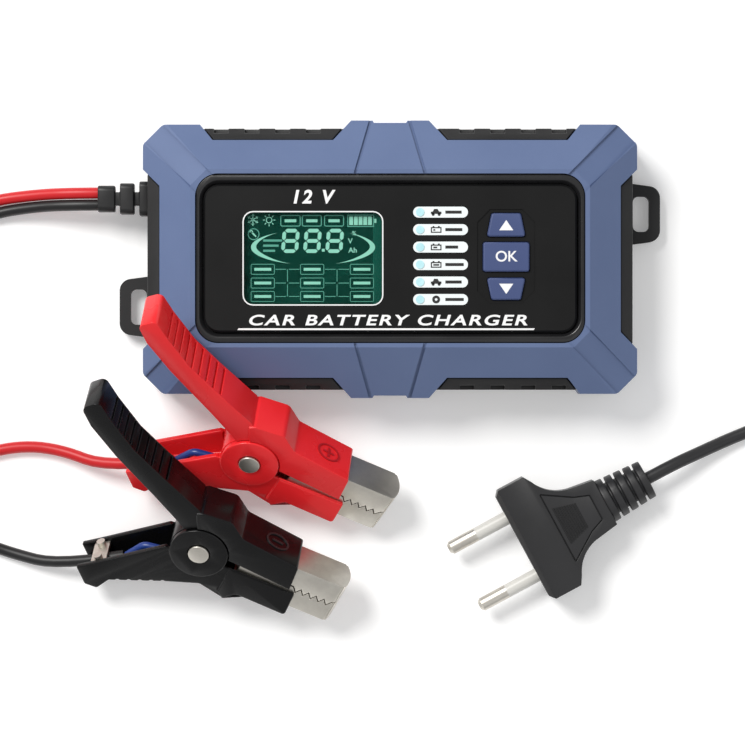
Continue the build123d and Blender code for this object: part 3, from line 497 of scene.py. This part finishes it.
for node, (name, width) in softened.items():
    roundedCopy(node, name, width)

# the plug's strain relief is a little fuller across than the plain piece
relief = {"swell": 1.2}


def swellRelief():
    swell = Matrix.Diagonal((1, relief["swell"], relief["swell"], 1))
    bpy.data.objects["plugRelief"].data.transform(plugSeat @ swell @ plugSeat.inverted())


swellRelief()

print("stage: moulded pieces")


# printed and display graphics: flat shapes given a hair of thickness
film = {"lift": 0.01, "thick": 0.03, "textLift": 0.02, "weld": 0.002}


def inkPoly(bm, points, z):
    verts = [bm.verts.new((x * mm, y * mm, z * mm)) for x, y in points]
    return bm.faces.new(verts)


def inkBar(bm, a, b, width, z):
    ax, ay = a
    bx, by = b
    length = math.hypot(bx - ax, by - ay)
    nx, ny = -(by - ay) / length * width / 2, (bx - ax) / length * width / 2
    inkPoly(bm, [(ax + nx, ay + ny), (ax - nx, ay - ny), (bx - nx, by - ny), (bx + nx, by + ny)], z)


def drawRect(bm, x0, x1, y0, y1, z):
    return inkPoly(bm, [(x0, y0), (x1, y0), (x1, y1), (x0, y1)], z)


def bridgeWires(bm):
    bmesh.ops.bridge_loops(bm, edges=[edge for edge in bm.edges if edge.is_wire])


def inkFrame(bm, x0, x1, y0, y1, width, z, radius=0.0, steps=5):
    earlier = set(bm.faces)
    for grow in (width / 2, -width / 2):
        sheet = drawRect(bm, x0 - grow, x1 + grow, y0 - grow, y1 + grow, z)
        if radius > 0:
            bmesh.ops.bevel(bm, geom=sheet.verts[:], offset=(radius + grow) * mm, offset_type="OFFSET",
                            affect="VERTICES", segments=steps, profile=0.5, material=-1)
        bmesh.ops.delete(bm, geom=[f for f in bm.faces if f not in earlier], context="FACES_ONLY")
    bridgeWires(bm)


def inkRing(bm, x, y, rx, ry, width, z, steps=24):
    place = Matrix.Translation((x * mm, y * mm, z * mm))
    for grow in (width / 2, -width / 2):
        size = Matrix.Diagonal((rx + grow, ry + grow, 1, 1))
        bmesh.ops.create_circle(bm, segments=steps, radius=mm, matrix=place @ size)
    bridgeWires(bm)


def inkHook(bm, x, y, radius, width, first, last, z, steps=10):
    across = [bm.verts.new(Vector(onCircle((x, y), radius + grow, first, z)) * mm)
              for grow in (width / 2, -width / 2)]
    bmesh.ops.spin(bm, geom=across + [bm.edges.new(across)], cent=(x * mm, y * mm, z * mm), axis=(0, 0, 1),
                   angle=math.radians(last - first), steps=steps)


def inkCrescent(bm, x, y, rx, ry, first, last, z, steps=30):  # its outer edge is on the ellipse
    pair = None
    for i in range(steps + 1):
        f = i / steps
        width = display["crescentThin"] + display["crescentThick"] * math.sin(math.pi * f) ** 1.4
        before, pair = pair, []
        for inset in (0, width / 2):
            ex, ey, ez = onCircle((0, 0), 1, first + (last - first) * f, z)
            pair.append(bm.verts.new(((x + (rx - inset) * ex) * mm, (y + (ry - inset) * ey) * mm, ez * mm)))
        if before:
            bm.faces.new((before[0], before[1], pair[1], pair[0]))


def raiseInk(bm, height):
    bmesh.ops.remove_doubles(bm, verts=bm.verts, dist=film["weld"] * mm)
    bmesh.ops.recalc_face_normals(bm, faces=bm.faces)
    for face in bm.faces:
        if face.normal.z < 0:
            face.normal_flip()
    made = bmesh.ops.extrude_face_region(bm, geom=list(bm.faces), use_keep_orig=True)
    tops = [v for v in made["geom"] if isinstance(v, bmesh.types.BMVert)]
    bmesh.ops.translate(bm, verts=tops, vec=(0, 0, height * mm))
    bmesh.ops.recalc_face_normals(bm, faces=bm.faces)


display = {"x": -21.85, "half": (19.85, 13.3), "z": 28.32, "thick": 0.06, "line": 0.28,
           "digitH": 6.4, "digitW": 4.7, "digitT": 1.05, "digitY": 4.95, "digitX": (-30.4, -24.15, -17.85),
           "point": (-19.35, -18.55, 1.95, 2.75), "cold": (-38.9, 11.0), "warm": (-34.3, 10.9),
           "tabX": ((-31.0, -25.5), (-24.9, -19.5), (-18.6, -13.2)), "tabY": (9.2, 12.2),
           "gauge": (-12.0, -4.7, 9.1, 12.3), "cells": 5, "cellStep": 1.33, "cellWide": 1.1, "cellGap": 0.4,
           "spanner": (-38.7, 6.9), "crescentThin": 0.06, "crescentThick": 3.0,
           "notes": (5.4, 4.4, 3.4), "noteStart": (-36.0, 5.1), "notePitch": 1.45,
           "crescentY": 3.2, "crescentR": (17.6, 5.0), "crescents": ((126, 248), (54, -68)),
           "boxX": (-36.1, -22.1, -8.0), "boxY": (-3.05, -6.95, -10.75), "boxSize": (6.6, 2.85),
           "linkX": (-29.1, -15.05), "linkY": ((-3.05, -6.55), (-7.35, -10.75)), "linkReach": (0.4, 3.4)}
segments = {"a": ((0, 1), (1, 1)), "b": ((1, 1), (1, 0.5)), "c": ((1, 0.5), (1, 0)), "d": ((0, 0), (1, 0)),
            "e": ((0, 0.5), (0, 0)), "f": ((0, 1), (0, 0.5)), "g": ((0, 0.5), (1, 0.5))}


def inkDigit(bm, x, y, width, height, thick, z, lean=0.08):
    for (fx, fy), (tx, ty) in segments.values():
        ax, ay, bx, by = x + fx * width, y + fy * height, x + tx * width, y + ty * height
        length = math.hypot(bx - ax, by - ay)
        ux, uy = (bx - ax) / length, (by - ay) / length
        gap, h = thick * 0.16, thick / 2
        outline = [(gap, 0), (gap + h, h), (length - gap - h, h), (length - gap, 0),
                   (length - gap - h, -h), (gap + h, -h)]
        points = []
        for s, t in outline:
            px, py = ax + ux * s - uy * t, ay + uy * s + ux * t
            points.append((px + lean * (py - y), py))
        inkPoly(bm, points, z)


def drawDigits(bright):
    s = display
    for x in s["digitX"]:
        inkDigit(bright, x, s["digitY"] - s["digitH"] / 2 + 0.35, s["digitW"] - 0.9, s["digitH"] - 0.6,
                 s["digitT"], s["z"])
    drawRect(bright, *s["point"], s["z"])


def drawWeather(bright):
    z = display["z"]
    x, y = display["cold"]
    for i in range(6):  # six barbed arms
        a = math.pi * i / 3 + math.pi / 6
        c, v = math.cos(a), math.sin(a)
        inkBar(bright, (x + 0.15 * c, y + 0.15 * v), (x + 1.7 * c, y + 1.7 * v), 0.24, z)
        for lean in (-0.9, 0.9):
            barb = (x + c + 0.5 * math.cos(a + lean), y + v + 0.5 * math.sin(a + lean))
            inkBar(bright, (x + c, y + v), barb, 0.18, z)
    x, y = display["warm"]
    for i in range(8):  # eight rays round a ring
        c, v = math.cos(math.pi * i / 4), math.sin(math.pi * i / 4)
        inkBar(bright, (x + 1.2 * c, y + 1.2 * v), (x + 1.75 * c, y + 1.75 * v), 0.24, z)
    inkRing(bright, x, y, 0.8, 0.8, 0.24, z)


def drawTopRow(bright, dim):
    s, z = display, display["z"]
    middle = sum(s["tabY"]) / 2
    for x0, x1 in s["tabX"]:
        inkFrame(dim, x0, x1, *s["tabY"], s["line"], z, 0.4, 2)
        inkBar(bright, (x0 + 1.1, middle), (x1 - 1.1, middle), 0.85, z)
    x0, x1, y0, y1 = s["gauge"]
    inkFrame(dim, x0, x1, y0, y1, s["line"], z)
    drawRect(bright, x1 + 0.2, x1 + 0.8, y0 + 1.0, y1 - 1.0, z)
    for i in range(s["cells"]):
        x = x0 + s["cellGap"] + s["cellStep"] * i
        drawRect(bright, x, x + s["cellWide"], y0 + s["cellGap"], y1 - s["cellGap"], z)


def drawNotes(bright, dim):
    s, z = display, display["z"]
    x, y = s["spanner"]
    inkRing(dim, x, y, 1.55, 1.55, 0.26, z)
    inkBar(bright, (x + 0.7, y - 0.7), (x - 0.5, y + 0.5), 0.42, z)
    inkHook(bright, x - 0.65, y + 0.65, 0.36, 0.28, -60, 200, z)
    x, y = s["noteStart"]
    for i, length in enumerate(s["notes"]):
        drop = y - s["notePitch"] * i
        inkBar(dim, (x, drop), (x + length, drop), 0.62, z)
    for first, last in s["crescents"]:
        inkCrescent(bright, s["x"], s["crescentY"], *s["crescentR"], first, last, z)


def drawChart(bright, dim):  # nine boxes with the lines that link them
    s, z = display, display["z"]
    w, h = s["boxSize"]
    for x in s["boxX"]:
        for y in s["boxY"]:
            inkFrame(dim, x - w / 2, x + w / 2, y - h / 2, y + h / 2, 0.2, z, 0.3, 2)
            inkBar(bright, (x - w / 2 + 0.9, y), (x + w / 2 - 0.9, y), 0.8, z)
    near, far = s["linkReach"]
    for x in s["linkX"]:
        for y0, y1 in s["linkY"]:
            inkBar(dim, (x, y0), (x, y1), 0.22, z)
        for y in s["boxY"]:
            inkBar(dim, (x - far, y), (x - near, y), 0.22, z)
            inkBar(dim, (x + near, y), (x + far, y), 0.22, z)


def drawOutline():
    s = display
    bm = bmesh.new()
    x0, x1 = s["x"] - s["half"][0] + 0.1, s["x"] + s["half"][0] - 0.1
    y1 = s["half"][1] - 0.1
    inkFrame(bm, x0, x1, -y1, y1, 0.34, panelTop + film["lift"], 2.8)
    raiseInk(bm, film["thick"])
    pieceFrom(bm, "windowOutline", "ink", "charger")


def makeDisplayGraphics():
    bright, dim = bmesh.new(), bmesh.new()
    drawDigits(bright)
    drawWeather(bright)
    drawTopRow(bright, dim)
    drawNotes(bright, dim)
    drawChart(bright, dim)
    for bm, name, shade in ((bright, "displaySegments", "aqua"), (dim, "displayFrames", "aquaDim")):
        raiseInk(bm, display["thick"])
        pieceFrom(bm, name, shade, "charger")
    drawOutline()


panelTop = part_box("control_panel")[1].z / mm
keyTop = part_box("enter_key")[1].z / mm


def makeText(name, words, size, centre, z, finishName, shear=0.0, spacing=1.0, body="charger", weight=0.012,
             stretch=1.0):
    curve = bpy.data.curves.new(name + "Curve", "FONT")
    curve.body = words
    curve.size = size * mm
    curve.align_x, curve.align_y = "CENTER", "CENTER"
    curve.shear = shear
    curve.space_character = spacing
    curve.extrude = 0.02 * mm
    curve.offset = weight * size * mm
    holder = bpy.data.objects.new(name + "Curve", curve)
    bpy.context.scene.collection.objects.link(holder)
    bpy.context.view_layer.update()
    mesh = bpy.data.meshes.new_from_object(holder)
    bpy.data.objects.remove(holder)
    bpy.data.curves.remove(curve)
    place = Matrix.Translation((centre[0] * mm, centre[1] * mm, z * mm))
    mesh.transform(place @ Matrix.Diagonal((stretch, 1, 1, 1)))
    mesh.name = name
    mesh.materials.clear()
    mesh.materials.append(finishes[finishName])
    obj = bpy.data.objects.new(name, mesh)
    bpy.context.scene.collection.objects.link(obj)
    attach(obj, body)


panelPrint = {"title": "CAR BATTERY CHARGER", "titleX": -0.9, "titleY": -17.65, "titleSize": 4.1,
              "lineY": -20.05, "lineX": (-43.2, 40.6), "top": "12 V", "topX": -22.3, "topY": 17.2,
              "topSize": 5.2, "lineThick": 0.5, "lineLean": 0.3,
              "units": (("%", -10.2, 7.1, 1.7), ("V", -11.3, 4.9, 2.1), ("Ah", -10.6, 2.3, 2.1))}
lamps = {"x": 14.25, "top": 13.05, "pitch": 4.94, "length": 15.7, "dome": 0.6, "domeX": 2.05, "signX": 6.6,
         "wordX": 9.2, "signs": ("car", "cell", "cell", "cell", "car", "tool"),
         "words": (4.6, 4.8, 3.6, 5.2, 4.6, 5.2)}
keys = {"x": 32.8, "up_key": 9.3, "enter_key": 0.4, "down_key": -8.6, "half": 2.0}


def makePanelPrint():
    p = panelPrint
    z = panelTop + film["textLift"]
    makeText("titlePrint", p["title"], p["titleSize"], (p["titleX"], p["titleY"]), z, "ink", 0.2, 1.18,
             weight=0.022, stretch=1.5)
    makeText("voltagePrint", p["top"], p["topSize"], (p["topX"], p["topY"]), z, "ink", 0.2, 1.25, weight=0.03)
    for i, (words, x, y, size) in enumerate(p["units"]):
        makeText(f"unitSign{i}", words, size, (x, y), display["z"] + film["textLift"], "aqua")
    bm = bmesh.new()
    x0, x1 = p["lineX"]
    low, high = p["lineY"] - p["lineThick"] / 2, p["lineY"] + p["lineThick"] / 2
    inkPoly(bm, [(x0, low), (x1, low), (x1 + p["lineLean"], high), (x0 + p["lineLean"], high)],
            panelTop + film["lift"])
    raiseInk(bm, film["thick"])
    pieceFrom(bm, "titleRule", "ink", "charger")


def drawCar(ink, x, y, z):
    inkPoly(ink, [(x - 1.5, y - 0.5), (x + 1.5, y - 0.5), (x + 1.5, y + 0.1), (x + 0.8, y + 0.2),
                  (x + 0.4, y + 0.9), (x - 0.6, y + 0.9), (x - 0.9, y + 0.2), (x - 1.5, y + 0.1)], z)
    for dx in (-0.85, 0.85):
        inkRing(ink, x + dx, y - 0.65, 0.22, 0.22, 0.4, z)


def drawCell(ink, x, y, z, level):
    inkFrame(ink, x - 1.35, x + 1.35, y - 0.75, y + 0.55, 0.32, z)
    for dx in (-0.75, 0.75):
        drawRect(ink, x + dx - 0.25, x + dx + 0.25, y + 0.7, y + 1.0, z)
    inkBar(ink, (x - 0.8, y - 0.1), (x - 0.8 + 0.55 * level, y - 0.1), 0.45, z)


def makeLampPrint():  # a pale lamp at the left of each pill, then a small sign and a caption bar
    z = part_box("mode_lenses")[1].z / mm + film["lift"]
    left = lamps["x"] - lamps["length"] / 2
    glow, ink = bmesh.new(), bmesh.new()
    for i, (sign, word) in enumerate(zip(lamps["signs"], lamps["words"])):
        y = lamps["top"] - lamps["pitch"] * i
        inkRing(glow, left + lamps["domeX"], y, lamps["dome"], lamps["dome"], 1.15, z)
        x = left + lamps["signX"]
        if sign == "car":
            drawCar(ink, x, y, z)
        elif sign == "tool":
            inkRing(ink, x, y, 0.75, 0.75, 0.75, z)
        else:
            drawCell(ink, x, y, z, i)
        inkBar(ink, (left + lamps["wordX"], y), (left + lamps["wordX"] + word, y), 0.85, z)
    raiseInk(glow, 0.25)
    raiseInk(ink, film["thick"])
    pieceFrom(glow, "lampDomes", "lampGlow", "charger")
    pieceFrom(ink, "lampSigns", "inkBlack", "charger")


def makeKeyPrint():
    for node, body, flip in (("up_key", "up_button", 1), ("down_key", "down_button", -1)):
        bm = bmesh.new()
        x, y, h = keys["x"], keys[node], keys["half"]
        inkPoly(bm, [(x - h, y - flip * 1.4), (x + h, y - flip * 1.4), (x, y + flip * 1.5)],
                keyTop + film["lift"])
        raiseInk(bm, film["thick"])
        pieceFrom(bm, node.replace("_key", "Arrow"), "ink", body)
    z = keyTop + film["lift"] + film["textLift"]
    makeText("enterSign", "OK", 4.2, (keys["x"], keys["enter_key"]), z, "ink", body="enter_button")


makeDisplayGraphics()
makePanelPrint()
makeLampPrint()
makeKeyPrint()
print("stage: panel print")


# raised marks on the clamps' jaw covers
mark = {"u": 19.6, "v": 9.66, "rx": 3.335, "ry": 2.755, "ring": 0.494, "arm": 1.7, "bar": 0.6, "gap": 0.32,
        "lean": -6.3, "height": 0.4}


def makeClampMark(colour, body):
    bm = bmesh.new()
    inkRing(bm, 0, 0, mark["rx"], mark["ry"], mark["ring"], 0, 40)
    inkBar(bm, (-mark["arm"], 0), (mark["arm"], 0), mark["bar"], 0)
    if colour == "red":
        inkBar(bm, (0, mark["gap"]), (0, mark["arm"]), mark["bar"], 0)
        inkBar(bm, (0, -mark["gap"]), (0, -mark["arm"]), mark["bar"], 0)
    raiseInk(bm, mark["height"])
    seat = Matrix.Translation((mark["u"] * mm, mark["v"] * mm, 0)) @ Matrix.Rotation(
        math.radians(mark["lean"]), 4, "Z") @ Matrix.Rotation(math.radians(-90), 4, "X")
    bmesh.ops.transform(bm, matrix=clampMatrix(colour) @ seat, verts=bm.verts)
    pieceFrom(bm, colour + "PoleMark", "markRed" if colour == "red" else "markBlack", body)


makeClampMark("red", "red_clamp_half")
makeClampMark("black", "black_clamp_half")


# ribbed finger patch on the plug
grip = {"x": (12.9, 19.0), "half": (5.6, 3.9), "count": 9, "r": 0.3,
        "high": 6.85, "low": 5.6, "slope": (10.5, 8.5)}


def makePlugGrip():
    bm = bmesh.new()
    for side in (1, -1):
        for i in range(grip["count"]):
            x = grip["x"][0] + (grip["x"][1] - grip["x"][0]) * i / (grip["count"] - 1)
            half = grip["half"][0] + (grip["half"][1] - grip["half"][0]) * i / (grip["count"] - 1)
            fall = min(max((x - grip["slope"][0]) / grip["slope"][1], 0), 1)
            drop = grip["high"] - (grip["high"] - grip["low"]) * fall
            made = bmesh.ops.create_cone(bm, cap_ends=True, segments=8, radius1=grip["r"] * mm,
                                         radius2=grip["r"] * mm, depth=2 * half * mm)
            turn = Matrix.Rotation(math.radians(90), 4, "X")
            shift = Matrix.Translation((x * mm, 0, side * drop * mm))
            bmesh.ops.transform(bm, matrix=shift @ turn, verts=made["verts"])
    bmesh.ops.transform(bm, matrix=plugSeat, verts=bm.verts)
    pieceFrom(bm, "plugGrip", "gripBlack", "charger")


makePlugGrip()
print("stage: clamp and plug detail")
